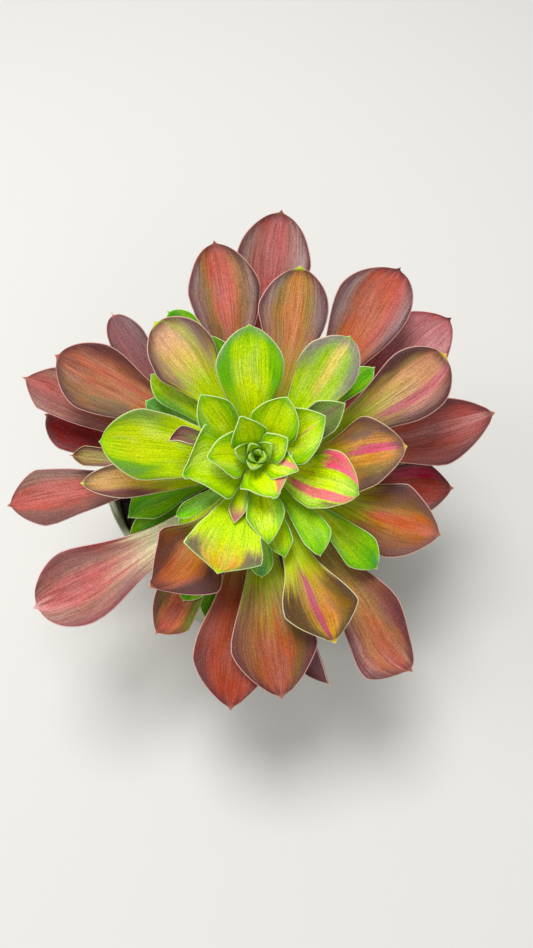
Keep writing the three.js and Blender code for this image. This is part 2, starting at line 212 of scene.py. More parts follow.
def surface(tree, finish, relief=None, strength=0, height=0):
    """Ends a material with its finish and a relief: a pattern that stands out by height mm."""
    if relief is not None:
        finish["Normal"] = add(tree, "Bump", {0: strength, 1: height * MM, 3: relief})
    skin = add(tree, "BsdfPrincipled", finish)
    add(tree, "OutputMaterial", {0: skin})


def read_stops(text):
    """Colour stops from text: each a place, a colour and, at times, how strongly it covers."""
    stops = []
    for stop in text.split(", "):
        place, colour, *cover = stop.split()
        stops.append((float(place), colour, float(cover[0]) if cover else 1))
    return stops


# Patterns on a leaf, with places in mm: grains to the mm across and along it, detail, roughness.
LEAF_PATTERNS = {
    # Colour bands about 2 mm wide and 30 mm long follow the leaf's fibres.
    "bands": ((0.5, 0.034, 1), 4, 0.62),
    # Patches about 6 mm wide shift where one colour gives way to the next.
    "patches": ((0.16, 0.07, 1), 3, 0.5),
    # Threads about 0.4 mm wide are the veins under the skin.
    "threads": ((2.5, 0.08, 1), 3, 0.6),
    # Grain stands for the down on the skin, drawn 0.6 mm wide so that it shows.
    "down": ((1.7, 1.7, 1), 3, 0.65),
}


def leaf_material(name, look):
    """Living succulent leaf: a waxy, downy skin over wet flesh. The eye sees a colour that turns
    in long streaks from the foot to the end, darker towards the margins with painted shade at the
    end, a satin sheen that breaks up in the fine down, partly from the roughness and partly painted
    as grey tones on the flanks, and a pale line of hairs along the margin."""
    material, tree = new_material(name)
    along, across, edge, upper = [
        add(tree, "Attribute", output="Fac", attribute_name=layer) for layer in LEAF_LAYERS
    ]
    blade = add(tree, "Attribute", output="Vector", attribute_name="blade")
    bands, patches, threads, down = [
        grained(tree, blade, *pattern) for pattern in LEAF_PATTERNS.values()
    ]

    # Bands carry each colour far up or down the leaf, and threads fray its end.
    wander = look.get("wander", 0.4)
    place = shifted(tree, along, (bands, wander), (threads, FRAYING))
    delay = 0.5 * (wander + FRAYING) + look.get("delay", 0)
    place = add(tree, "Math", {0: place, 1: delay}, operation="SUBTRACT")
    colour = add(tree, "ValToRGB", {0: place}, stops=read_stops(look["body"]))

    # The sides have tones of their own: a darker margin colour and, over it, grey and grey-mauve tones
    # that are painted sheen, broken up in blotches.
    side_place = shifted(tree, 0.32, (patches, 0.26), (threads, 0.1), (across, 0.5))
    stops = [(0.5 + 0.5 * spot, tone, cover) for spot, tone, cover in read_stops(look["sides"])]
    sides = add(tree, "ValToRGB", {0: side_place}, stops=stops)
    start, full = look.get("side_from", (0.3, 0.7))
    blotch = shifted(tree, patches, (down, 0.5))
    sheen_gaps = (blotch, 0.55, 0.82, look.get("sheen_gaps", 0.72), 1)
    cover = sides.node.outputs["Alpha"]
    colour = coat(tree, colour, sides, (place, start, full), sheen_gaps, share=cover)

    for middle, half, begin, end, tone in look.get("sectors", []):
        offset = add(tree, "Math", {0: across, 1: middle}, operation="SUBTRACT")
        width = add(tree, "Math", {0: offset}, operation="ABSOLUTE")
        frayed = shifted(tree, width, (bands, 0.2))
        stripe = (frayed, half + 0.15, half + 0.06)
        begun = (place, begin - 0.05, begin + 0.08)
        colour = coat(tree, colour, tone, stripe, begun, (place, end + 0.03, end - 0.03))

    # The margin's own colour is darker, deepest at the edge itself; towards the tip a broad band
    # darkens the end, the leaf's darker colour with painted shade, and is painted sheen where its tone
    # is grey.
    tone, width, strength = look["rim"]
    rim = shifted(tree, edge, (patches, 2.4 * width))
    rim_limit = (rim, 2.1 * width, 0.9 * width, 0, strength)
    colour = coat(tree, colour, tone, rim_limit, (place, start, 0.5 * (start + full)))
    tone, width, strength = look["end"]
    dusk = shifted(tree, edge, (bands, 2 * width))
    colour = coat(tree, colour, tone, (dusk, 2 * width, width, 0, strength), (along, 0.62, 0.86))
    colour = coat(tree, colour, look["tip"], (along, look.get("tip_from", 0.968), 0.99))

    # Threads of a deeper colour lie in the skin, and darken and lighten it; patches make it
    # duller or fuller.
    colour = coat(tree, colour, look["thread"], (threads, 0.5, 0.36, 0, look["veined"]))
    streaks = look.get("streaks", 0.19)
    veins = add(tree, "MapRange", {0: threads, 1: 0.34, 2: 0.66, 3: 1 - streaks, 4: 1 + streaks})
    grain = add(tree, "MapRange", {0: down, 1: 0.36, 2: 0.64, 3: 0.8, 4: 1.2})
    value = add(tree, "Math", {0: veins, 1: grain}, operation="MULTIPLY")
    fullness = add(tree, "MapRange", {0: patches, 1: 0.3, 2: 0.7, 3: 1.1, 4: 0.92})
    colour = add(tree, "HueSaturation", {1: fullness, 2: value, 4: colour})

    # Pale gland hairs show as specks 0.2 mm wide, a little over 1 mm apart.
    speck_place = add(tree, "Mapping", {0: blade, 3: (0.9, 0.9, 1)})
    specks = add(tree, "TexVoronoi", {0: speck_place, 2: 1})
    colour = coat(tree, colour, look.get("speck", "blush"), (specks, 0.16, 0.08, 0, 0.3))
    fringe = (edge, 0.32, 0.1, 0, look.get("fringe_strength", 0.85))
    colour = coat(tree, colour, look["fringe"], fringe)
    under = coat(tree, colour, look["under"], share=0.6)
    finish = {
        "Base Color": coat(tree, under, colour, share=upper),
        "Roughness": add(tree, "MapRange", {0: down, 1: 0.3, 2: 0.7, 3: 0.4, 4: 0.56}),
        "IOR": 1.4,
        "Specular IOR Level": LEAF_SHINE,
        "Sheen Weight": look.get("sheen", 0),
        "Sheen Roughness": 0.4,
    }
    surface(tree, finish, shifted(tree, down, (threads, 1.6)), 0.35, 0.16)
    return material


# ---- How the leaves are coloured ------------------------------------------------------------
# body: colours from foot (0) to end (1); sides: colours from the margin at -1 to the one at +1,
# with how strongly each covers the body: darker margin colours, and grey and grey-mauve tones that
# are painted sheen; side_from: where along the leaf they begin and are full; rim and end: colour,
# width in mm and strength, where rim is the margin's darker colour and end a band at the leaf's
# end that is the leaf's darker colour with painted shade, and painted sheen where its tone is grey;
# sectors: middle and half width across, start and end along, colour; delay: how much later the
# colours turn; wander: how far the bands carry them; sheen_gaps: what is left of the sides where
# the painted sheen breaks up in blotches.
GREEN = dict(
    body="0 lime, 0.45 bright_lime, 0.85 lime, 1 leaf_green",
    sides="-1 #58a00a 1, -0.66 #7cba0a 0.75, -0.3 lime 0, 0.3 lime 0, 0.66 #7cba0a 0.75, 1 #58a00a 1",
    side_from=(0.15, 0.5), thread="#55a006", veined=0.42, streaks=0.1, end=("#5f9a2c", 1.6, 0.35),
    rim=("sea_green", 0.9, 0.28), tip="leaf_green", fringe="#d9e6a6", speck="#e4f08c",
    under="pale_green",
)
DEEP_GREEN = dict(GREEN, body="0 lime, 0.5 #76b80c, 1 #4c960c", thread="#3f7c08")
RED = dict(
    body="0 olive, 0.35 terracotta, 0.8 brick, 1 terracotta",
    sides="-1 purple_brown 1, -0.7 mauve 0.8, -0.35 brick 0, 0.35 brick 0, 0.7 mauve 0.8, "
    "1 purple_brown 1",
    side_from=(0.4, 0.75), thread="#7a3426", veined=0.32, delay=0.06, end=("#5a3436", 3.6, 0.8),
    rim=("#4c2a2a", 1.3, 0.75), tip="#9c6450", fringe="#d8a699", under="mauve", sheen=0.05,
)
OLD_LOOKS = [
    dict(
        RED,
        body="0 #a8504a, 0.45 #b05c54, 0.75 #b46a68, 1 #8c4848",
        sides="-1 #6a4a4a 1, -0.66 #9c827c 0.95, -0.36 #946860 0.7, -0.1 brick 0, 0.15 brick 0, "
        "0.4 brown 0.4, 0.7 #8a7268 0.95, 1 #5e4042 1",
        tip="brown",
    ),
    dict(
        RED,
        body="0 #8f8a24, 0.4 #a8743a, 0.62 salmon, 1 #a05448",
        sides="-1 #5a4644 1, -0.75 #94796e 0.95, -0.46 #80683c 0.85, -0.2 olive 0, 0.2 olive 0, "
        "0.5 #7c6a30 0.8, 0.78 #8a7472 0.95, 1 #54404a 1",
        side_from=(0.2, 0.5), tip="brown",
    ),
    dict(
        RED,
        body="0 yellow_green, 0.35 #a89834, 0.6 #c67c50, 1 #b4844c",
        sides="-1 #5c4650 1, -0.68 #8a7472 0.95, -0.42 #837a3c 0.75, -0.2 olive 0, 0.22 olive 0, "
        "0.42 #7e7234 0.75, 0.68 #8a7876 0.95, 1 #5c4650 1",
        side_from=(0.45, 0.68), tip="yellow_green",
    ),
    dict(
        RED,
        body="0 olive, 0.35 #b8783c, 0.62 #bc6644, 1 #a4504c",
        sides="-1 #5c4650 1, -0.8 #8a7476 0.9, -0.55 #b06468 0.6, -0.2 salmon 0, 0.15 salmon 0, "
        "0.45 brown 0.5, 0.75 #8a7672 0.9, 1 #54404a 1",
        side_from=(0.35, 0.65), tip="dark_brown",
    ),
    dict(
        RED,
        body="0 terracotta, 0.5 #b86460, 0.8 #c08080, 1 #a05050",
        sides="-1 #7c2c38 1, -0.6 dusty_rose 0.5, 0 rose 0, 0.6 #8c4c56 0.5, 1 #7c2c38 1",
        end=("#84343c", 2.4, 0.7), tip="dark_brown",
    ),
    dict(
        RED,
        body="0 lime, 0.4 #a9bc2c, 0.54 #bca850, 0.76 #cc9c76, 1 #8f5448",
        sides="-1 #54343a 1, -0.76 #6f5250 0.95, -0.35 #b36468 0.5, 0.05 tan 0, 0.3 tan 0, "
        "0.56 #76602e 0.9, 0.8 #54382c 1, 1 #472a2c 1",
        side_from=(0.3, 0.6), sectors=[(-0.33, 0.12, 0.5, 0.95, "#b8686a")], end=("#4c2e30", 4, 0.85),
        tip="gold",
    ),
    dict(
        RED,
        body="0 #9c5434, 0.4 #b0604e, 0.75 #a85650, 1 #904444",
        sides="-1 #5c3a3e 1, -0.6 #7c5048 0.85, -0.2 brick 0, 0.3 brick 0, 0.6 #743c38 0.8, "
        "1 #54282c 1",
        sectors=[(0.1, 0.16, 0.3, 0.95, "#b4706a")], thread="#5c2a2c",
    ),
    dict(
        RED,
        body="0 lime, 0.38 #a8bc20, 0.54 #dca04c, 0.85 #d08c48, 1 #8c6448",
        sides="-1 #4e3430 1, -0.68 #5f4634 1, -0.36 #7c6c2c 0.8, -0.1 orange 0, 0.3 orange 0, "
        "0.54 #7c6252 0.95, 1 #4c3230 1",
        end=("#6c4c46", 4.5, 0.9), thread="#a8783c", side_from=(0.35, 0.6),
        sectors=[(0.12, 0.12, 0.55, 1.02, "#d86880")], tip="gold", fringe="#e6c6a0",
    ),
    dict(
        RED,
        body="0 #7c3c2c, 0.6 #803428, 0.85 #8c3a30, 1 #6a2c26",
        sectors=[(0.6, 0.2, 0.6, 0.95, "#a83048")],
    ),
    dict(
        RED,
        body="0 lime, 0.42 #a8b820, 0.58 #a0742c, 0.82 #b45c34, 1 #96503a",
        sides="-1 #523232 1, -0.7 #744032 0.95, -0.36 #845428 0.8, -0.1 orange 0, 0.15 orange 0, "
        "0.42 #7c5a28 0.9, 0.75 #68423a 1, 1 #54343a 1",
        sectors=[(0, 0.14, 0.5, 0.93, "#b85c3a")], thread="#7c5420", side_from=(0.44, 0.64),
        end=("#6a4a48", 4, 0.8), fringe="#e2b4a0",
    ),
    dict(GREEN, body="0 lime, 0.6 #c9dd28, 0.9 leaf_green, 1 sea_green"),
    dict(
        RED,
        body="0 khaki, 0.4 #a48a4c, 0.6 #a46a3c, 0.8 #a85644, 1 #c07c78",
        sides="-1 #9a7076 1, -0.74 #a07c78 0.9, -0.42 #a06c50 0.5, -0.1 khaki 0, 0.15 khaki 0, "
        "0.4 #806844 0.5, 0.7 #7c4440 0.9, 1 #5c2a34 1",
        delay=0.1, side_from=(0.3, 0.62),
    ),
    dict(
        RED,
        body="0 lime, 0.46 #a9c41c, 0.62 #ac902c, 0.8 #b8702c, 1 gold",
        sides="-1 #482e22 1, -0.5 #54402a 1, -0.2 olive 0.2, 0.2 orange 0, 0.5 #6c5424 0.95, "
        "0.8 #543a24 1, 1 #4c3024 1",
        side_from=(0.54, 0.68), thread="#74662c", sheen_gaps=0.9, end=("#54402a", 3.2, 0.85),
        sectors=[(-0.12, 0.1, 0.52, 0.99, "#b04c60")], tip="gold", fringe="#e8dcae",
    ),
    dict(RED, body="0 leaf_green, 0.5 #8a6468, 1 #7c5458"),
    dict(
        RED,
        body="0 lime, 0.42 #98ac1c, 0.54 #a88c3c, 0.7 #a0583a, 0.9 #9c4c3a, 1 #a05c4c",
        sides="-1 #5c3c38 1, -0.78 #6c4438 0.95, -0.45 #7c5a2c 0.6, -0.1 brick 0, 0.2 brick 0, "
        "0.5 #66541c 0.85, 0.8 #543c30 1, 1 #5a3c48 1",
        side_from=(0.46, 0.66),
    ),
    dict(
        RED,
        body="0 yellow_green, 0.25 #9a7a30, 0.5 #94482e, 1 #9c463a",
        sides="-1 purple_brown 1, -0.7 #70403c 0.85, -0.3 brick 0, 0.4 brick 0, 0.75 #7a4034 0.8, "
        "1 purple_brown 1",
    ),
    DEEP_GREEN, DEEP_GREEN,
    dict(
        RED,
        body="0 leaf_green, 0.45 #a07434, 0.75 #b25a42, 1 #a8584a",
        sides="-1 #5a4c2c 1, -0.5 #66602c 0.85, -0.1 orange 0, 0.3 orange 0, 0.65 #74641f 0.85, "
        "1 leaf_green 1",
        rim=("#5a4c2c", 0.8, 0.5),
    ),
    dict(
        RED,
        body="0 lime, 0.44 #a2ac24, 0.6 #b07030, 0.8 #ac5a30, 1 #8a483c",
        sides="-1 #482a28 1, -0.5 #643c2c 1, -0.15 terracotta 0, 0.15 terracotta 0, 0.5 #5e3c34 1, "
        "1 #482a2e 1",
        side_from=(0.36, 0.56), end=("#50302c", 4.5, 0.9),
    ),
    dict(GREEN, under="sea_green"),
    dict(
        RED,
        body="0 cream_green, 0.42 #dcd8a8, 0.54 #cc9c84, 0.68 #b46460, 0.86 #b46460, 1 blush",
        sides="-1 #6e3438 1, -0.74 #845450 0.95, -0.4 #93685c 0.85, -0.12 coral 0, 0.2 coral 0, "
        "0.48 #957868 0.8, 0.8 #8c605c 0.95, 1 #844448 1",
        side_from=(0.36, 0.62), rim=("#7a3440", 1, 0.6), tip="blush", end=("#8c5a5c", 2, 0.5),
        fringe="#e2b0ae",
    ),
    dict(DEEP_GREEN, tip="olive"),
    DEEP_GREEN,
    dict(
        RED,
        body="0 #7a4038, 0.35 #a05c50, 0.65 #b8645a, 1 #b0605a",
        sides="-1 #7c5e56 1, -0.62 #957064 0.95, -0.25 brick 0, 0.1 brick 0, 0.45 #7c5248 0.9, "
        "1 #684440 1",
        end=("#7a5450", 1.6, 0.5), side_from=(0.2, 0.45), fringe="#d8a09c",
    ),
    dict(
        RED,
        body="0 lime, 0.4 #c0c81c, 0.55 #cda444, 0.78 #cc9c5c, 1 #b89458",
        sides="-1 #8f7c70 0.8, -0.6 #8c7264 0.4, -0.2 tan 0, 0.3 tan 0, 0.6 #7c4444 0.95, 1 #6a3844 1",
        side_from=(0.4, 0.62), thread="#a08440", tip="lime", fringe="#e6ccae",
    ),
    dict(RED, body="0 leaf_green, 0.5 #8c8a34, 1 khaki", fringe="#d8c890"),
    dict(
        RED,
        body="0 deep_red, 0.7 #781f1e, 1 #8c3434",
        sides="-1 #581818 1, -0.5 deep_red 0, 0.5 deep_red 0, 1 #8c4848 1",
        rim=("#6a2426", 1, 0.6),
    ),
    dict(
        RED,
        body="0 brown, 0.35 #a05c44, 0.65 #9a5c54, 1 #a4605c",
        sides="-1 #6c4040 1, -0.6 #93705f 0.7, 0 brick 0, 0.5 #86504a 0.6, 1 #a07c70 1",
        end=("#6c4444", 2, 0.5), fringe="#e0a4a0",
    ),
    dict(
        RED,
        body="0 #98902e, 0.3 #b08044, 0.55 #b87850, 0.8 #98604a, 1 #75433c",
        sides="-1 #432528 1, -0.74 #5f3634 0.95, -0.4 #a8604c 0.3, -0.1 salmon 0, 0.2 tan 0, "
        "0.5 #7c6848 0.85, 1 #665040 1",
        sectors=[
            (-0.28, 0.1, 0.35, 0.85, "#b46248"), (0.1, 0.05, 0.3, 0.88, "#ac6444"),
        ],
        side_from=(0.25, 0.6),
    ),
    dict(GREEN, body="0 leaf_green, 0.6 pale_green, 1 sea_green"),
    dict(GREEN, body="0 bright_lime, 0.7 lime, 1 yellow_green"),
    dict(
        RED,
        body="0 #8c6c60, 0.45 #986460, 0.75 #906064, 1 #7c5a60",
        sides="-1 #5a4244 1, -0.6 #8c7474 0.85, -0.15 mauve 0.1, 0.3 #a0645c 0.25, 0.7 #7c5a5a 0.8, "
        "1 #6a4c50 1",
        end=("#6c4c48", 1.6, 0.5),
    ),
    dict(
        RED,
        body="0 lime, 0.5 #bcd81c, 0.63 #dcc060, 0.8 #e2ae86, 1 #84605c",
        sides="-1 #64484a 1, -0.7 #7c6466 0.95, -0.4 #98ac3c 0.7, -0.15 lime 0, 0.3 peach 0, "
        "0.52 #9a8468 0.75, 0.74 #806468 0.95, 1 #684a4c 1",
        side_from=(0.46, 0.68), thread="#b4904c", tip="lime", fringe="#dcb49c",
    ),
    DEEP_GREEN, DEEP_GREEN,
    dict(DEEP_GREEN, under="sea_green"),
    dict(DEEP_GREEN, body="0 leaf_green, 0.6 pale_green, 1 sea_green"),
    dict(RED, body="0 olive, 0.6 brown, 1 mauve"),
]
YOUNG_LOOKS = [
    dict(
        GREEN,
        body="0 lime, 0.5 bright_lime, 0.85 #b4d81c, 1 leaf_green",
        sides="-1 #58a00a 1, -0.7 #5caa06 0.95, -0.36 lime 0, 0.36 lime 0, 0.66 #5caa06 0.95, "
        "1 #58a00a 1",
        side_from=(0.2, 0.62), end=("#7c9470", 3.4, 0.65), fringe="#d4c8a0",
    ),
    dict(
        GREEN,
        body="0 lime, 0.5 #bcd924, 0.8 #aebf44, 1 #a09a54",
        sides="-1 #7a7078 1, -0.72 #7c8468 0.85, -0.4 #7fb820 0.5, 0 lime 0, 0.35 #7fb820 0.5, "
        "0.7 #828a72 0.85, 1 #776a74 1",
        side_from=(0.56, 0.8), sectors=[(-0.08, 0.18, 0.52, 1, "#d4c25c")], end=("#8c7c7c", 4.5, 0.85),
        fringe="#d8c4a4",
    ),
    dict(
        GREEN,
        body="0 lime, 0.42 #8aba22, 0.62 #84984c, 0.8 #86705c, 1 #6a5a44",
        sides="-1 #5f5044 1, -0.5 #5f7a34 0.7, 0 leaf_green 0, 0.5 leaf_green 0.4, 1 #6a5a48 1",
        side_from=(0.5, 0.8),
    ),
    dict(GREEN, sectors=[(-0.1, 0.02, 0.35, 0.85, "#dc9860")]),
    dict(
        GREEN,
        body="0 yellow_green, 0.35 bright_lime, 0.85 #c3dd2c, 1 #8cb832",
        sides="-1 leaf_green 1, -0.6 yellow_green 0.5, -0.3 lime 0, 0.5 lime 0, 0.8 yellow_green 0.5, "
        "1 leaf_green 1",
        sectors=[
            (-0.9, 0.2, 0.72, 0.97, "#7a6a3c"), (-0.48, 0.16, 0.3, 1, "#e8646c"),
            (0.12, 0.03, 0.1, 0.6, "#d89a5c"), (0.7, 0.34, 0.6, 1.04, "hot_pink"),
        ],
        rim=("leaf_green", 0.5, 0.3), fringe="#e2e29c",
    ),
    # Painted shade: this leaf's greens are darker than the other young leaves' to stand in for the
    # shade it lies in.
    dict(GREEN, body="0 yellow_green, 0.6 #98c414, 1 leaf_green"),
    dict(GREEN, under="grey_brown"),
    dict(GREEN, under="#9aa83c"),
    dict(
        GREEN,
        body="0 yellow_green, 0.7 #b9d80c, 0.84 #c8bc2c, 0.95 #cf9e38, 1 lime",
        sides="-1 #6a584a 1, -0.6 #786448 1, -0.3 gold 0, 0.3 gold 0, 0.56 #74604a 1, 1 #6a544c 1",
        side_from=(0.73, 0.84), sheen_gaps=0.95, wander=0.12,
        sectors=[(0.36, 0.04, 0.84, 0.95, "#d87c44")], rim=("leaf_green", 0.5, 0.3), tip="lime",
    ),
    dict(GREEN, tip="rose", tip_from=0.6, under="mauve"),
    dict(GREEN, body="0 lime, 0.5 pale_green, 1 leaf_green", under="pale_green"),
    GREEN,
    dict(
        GREEN,
        body="0 lime, 0.5 #c4dc0c, 0.82 #bcc818, 1 yellow_green",
        sides="-1 #6f7c48 1, -0.68 #6f9424 0.9, -0.3 lime 0, 0.25 lime 0, 0.6 #5c9a18 0.95, "
        "1 #66803c 1",
        side_from=(0.4, 0.7), fringe="#dcd8a0", tip="leaf_green",
    ),
    GREEN, GREEN, GREEN, GREEN,
    dict(GREEN, sectors=[(0.45, 0.3, 0.35, 0.98, "#e0806a")]),
    dict(GREEN, sectors=[(0.2, 0.2, 0.6, 1, "#e08a7c")]),
    GREEN,
    dict(
        RED,
        body="0 lime, 0.4 yellow_green, 0.7 grey_brown, 1 #a05c5c",
        under="#8c5a58", fringe="#e0d8a8",
    ),
]
BUD_LOOK = dict(GREEN, body="0 lime, 0.6 lime, 1 yellow_green", fringe_strength=0.5)

# ---- Where the leaves stand -----------------------------------------------------------------
# turn, length, width, depth, rise, arch, swing and cup, as in the part's own table, then what
# sets one leaf apart: tip, cap, round, skew, roll, twist, neck, flare, cusp.
OLD_FOOT = (0.28, 5)
YOUNG_FOOT = (0.42, 3)
OLD_LEAVES = [
    (84.5, 89, 27.5, 30, 12, 6, -9, 22, {"cap": 0.7}),
    (100, 76.5, 25.5, 26, 17, 8, -10, 24, {"tip": 1.5, "cap": 0.7}),
    (78, 67, 24, 22, 22, 8, 19, 24, {"tip": -1}),
    (55.5, 83, 27, 28, 13, 8, 20, 22, {"tip": -3, "round": 1.8}),
    (39.3, 87, 27, 34, 6, 10, 16, 22, {"tip": -3, "round": 1.5}),
    (28, 74, 24.5, 25, 16, 8, 24, 22, {"tip": 1.5, "round": 1.9}),
    (11.3, 85.5, 25.5, 33, 6, 6, 5, 24, {"tip": 2, "round": 1.4, "cap": 0.85}),
    (4.5, 50, 25.5, 21, 20, 10, 12, 24, {"round": 1.5, "skew": 0.05}),
    (-6, 70, 20, 35.5, 2, 10, 14, 30, {"round": 1.3}),
    (-22, 66, 27, 26, 12, 14, 12, 20, {"round": 1.4}),
    (-42, 53, 13.5, 23, 12, 20, -12, 26, {"round": 1.5}),
    (-56, 87, 25.5, 31, 10, 14, -8, 24, {"tip": 4, "skew": -0.1, "round": 1.6}),
    (-67, 65.5, 25.5, 22, 18, 16, 0, 24, {"skew": 0.03, "round": 1.2, "cap": 0.46, "flare": 7}),
    (-73, 79, 11, 32, 10, 24, 10, 60, {"round": 1.2, "tip": 3, "neck": 0.5, "twist": 50}),
    (-84, 79, 29, 28, 14, 16, 7, 20, {"round": 1.45}),
    (-96, 83.5, 28, 32, 13, 16, 9, 22, {"round": 1.35}),
    (-106, 57, 12, 32, 12, 14, 0, 28, {"round": 1.3}),
    (-118, 52, 12, 28, 11, 12, 0, 28),
    (-120.5, 67, 18, 31, 11, 18, -10, 26, {"round": 1.4, "skew": 0.04}),
    (-124.5, 55, 29, 23, 18, 18, -8, 22, {"tip": -5, "skew": 0.04, "round": 1.25, "cap": 0.5,
                                          "flare": 7}),
    (-138, 33, 10, 21, 12, 30, 0, 40),
    (-146.5, 90, 27.5, 32, 12, 12, -20, 24, {"round": 1.8}),
    (-149, 51, 12, 31, 5, 10, 0, 26, {"round": 1.3}),
    (-162, 46.5, 15, 28, 6, 10, 0, 26, {"tip": 4, "round": 1.3}),
    (-170.4, 87, 21, 32, 8, 8, 6, 26, {"round": 1.4}),
    (-172.5, 59, 13.5, 24, 14, 14, -8, 44, {"cap": 1.1, "round": 1.6, "neck": 0.6, "flare": 3}),
    (178, 63, 9, 27, 12, 8, -4, 70, {"round": 1.3}),
    (166, 79, 19, 36, 4, 8, -24, 26),
    (158.5, 87.5, 17.5, 32, 8, 8, -22, 26, {"tip": 2, "round": 1.25, "neck": 0.4}),
    (153.5, 77, 25, 26, 14, 8, 6, 22, {"tip": -1.5, "round": 1.6, "neck": 0.36}),
    (151.5, 42, 16, 23, 16, 4, -6, 30, {"round": 1.4}),
    (141, 46, 12.5, 23, 20, 8, 5, 30, {"round": 1.5}),
    (134.3, 73, 14.5, 31, 16, 0, -31, 50, {"round": 1.9, "cusp": 0.1, "cap": 0.8}),
    (127, 58, 23.5, 21.5, 24, 10, 15, 24, {"round": 1.9}),
    (121, 60, 12, 25, 20, 4, 30, 26),
    (111, 46, 12, 24, 20, 8, 0, 30, {"round": 1.3}),
    (38.5, 51, 8, 25, 18, 8, 0, 34, {"round": 1.3}),
    (-87.5, 37.5, 8.5, 20, 15, 16, 0, 30, {"round": 1.7}),
    (44, 44, 7, 23, 22, 8, 0, 40, {"round": 1.3}),
]
YOUNG_LEAVES = [
    (93, 45, 22.5, 12, 32, 12, -6, 22, {"neck": 0.35, "flare": 3.5}),
    (53, 51, 20, 14, 28, 14, 20, 22, {"tip": -1.5, "neck": 0.35, "flare": 3.5, "round": 1.9}),
    (29.5, 36.5, 12.5, 12, 36, 10, 6, 40, {"round": 1.3}),
    (28, 30, 21, 9, 42, 16, 0, 40, {"cap": 0.55, "round": 1.4}),
    (-18, 37, 21, 13, 30, 20, 3, 20, {"tip": -2, "skew": 0.06, "round": 1.6}),
    (-53, 38, 10.5, 15, 22, 20, -10, 34, {"round": 1.6, "tip": -3, "neck": 0.3}),
    (-74, 33, 9, 16, 22, 20, 0, 34, {"round": 1.3}),
    (-82, 29.5, 14.5, 11.5, 29, 20, -6, 56, {"round": 1.3}),
    (-108, 42.5, 26, 15, 30, 40, 4, 18, {"cap": 0.24, "round": 1.1, "neck": 0.36, "flare": 4}),
    (-108, 24.5, 7, 12, 36, 10, 20, 70, {"round": 1.2}),
    (-143, 33, 9, 15, 26, 30, -20, 90),
    (-170, 29, 27, 9, 42, 20, 0, 34, {"tip": 3, "round": 1.1, "skew": -0.06, "cap": 0.4}),
    (175, 52, 24, 16, 24, 16, 10, 22, {"neck": 0.5, "flare": 2.6}),
    (134, 31, 13.5, 9, 42, 16, -20, 30, {"round": 1.4}),
    (113, 19, 13, 5, 55, 14, 10, 34, {"round": 1.3}),
    (61, 26, 17, 7, 46, 18, 10, 26, {"round": 1.6}),
    (25, 17, 11, 4, 56, 20, 10, 30, {"round": 1.4}),
    (-58, 20, 21, 6, 48, 34, 10, 26, {"round": 1.15, "cap": 0.45, "tip": -2}),
    (-22, 19, 12, 5, 48, 24, 0, 40, {"round": 1.2}),
    (-175, 22, 16, 6, 52, 20, 20, 34, {"round": 1.3}),
    (168, 33, 9, 11, 38, 12, 8, 60, {"round": 1.2, "roll": 40, "tip": 3}),
]
GOLDEN_ANGLE = 137.5
BUD_SCALES = [
    (65 + GOLDEN_ANGLE * i, 6 + 1.2 * i, 4 + 0.6 * i, 0.8 + 0.45 * i, 84 - 3 * i, -10, 0, 60)
    for i in range(7)
]


def leaf_sizes(row, neck, flare, seed):
    """A table row as named sizes. neck is the foot's width over the full width, and flare says
    how late the blade widens. seed sets how its two margins wave: height in mm, count, phase."""
    names = ("turn", "length", "width", "depth", "rise", "arch", "swing", "cup")
    sizes = {
        "tip": 0, "cap": 0.6, "round": 1.7, "skew": 0, "neck": neck, "flare": flare,
        "roll": 0, "twist": 0, "cusp": 1,
    }
    sizes.update(zip(names, row))
    sizes.update(row[8] if len(row) > 8 else {})
    sizes["widest"] = max(0.5, 1 - sizes["cap"] * sizes["width"] / sizes["length"])
    rng = random.Random(seed)
    sizes["seed"] = seed
    sizes["waves"] = [
        (WAVE * rng.uniform(0.4, 1), rng.uniform(1.2, 2.4), rng.uniform(0, FULL_TURN))
        for _ in range(2)
    ]
    return sizes


def outline(leaf, station, side):
    """Half the leaf's width over its greatest half width, at a station from 0 (root) to 1."""
    widest = min(0.96, leaf["widest"] + leaf["skew"] * side)
    if station < widest:
        along = station / widest
        power = leaf["flare"]
        return leaf["neck"] + (1 - leaf["neck"]) * along**power * (power + 1 - power * along)
    along = min((station - widest) / (ROUND_END - widest), 1)
    round_end = (1 - along ** leaf["round"]) ** (1 / leaf["round"])
    cusp = CUSP_WIDTH * leaf["cusp"] * min((1 - station) / CUSP_LENGTH, 1) ** 1.1
    cusp *= max(0, min(1, (station - CUSP_START) / CUSP_SET_IN))
    return min((round_end**4 + cusp**4) ** 0.25, 1)


def leaf_axes(leaf, station):
    """The leaf's tangent, its across direction and its upper normal at a station."""
    rise = math.radians(leaf["rise"] + leaf["arch"] * (0.5 - station))
    turn = math.radians(leaf["turn"] + leaf["swing"] * (station - 0.5))
    along = Vector(
        (math.cos(rise) * math.cos(turn), math.cos(rise) * math.sin(turn), math.sin(rise))
    )
    level = Vector((-math.sin(turn), math.cos(turn), 0))
    upright = along.cross(level)
    roll = math.radians(leaf["roll"] + leaf["twist"] * station)
    across = level * math.cos(roll) + upright * math.sin(roll)
    normal = upright * math.cos(roll) - level * math.sin(roll)
    return along, across, normal


def leaf_stations(leaf, rows):
    """Stations from root to tip, closer together where the end rounds off."""
    widest = leaf["widest"] - abs(leaf["skew"])
    shaft = round(0.45 * rows)
    stations = [widest * i / shaft for i in range(shaft)]
    for i in range(rows - shaft + 1):
        share = i / (rows - shaft)
        stations.append(widest + (1 - widest) * math.sin(0.5 * math.pi * share) ** 1.15)
    return stations


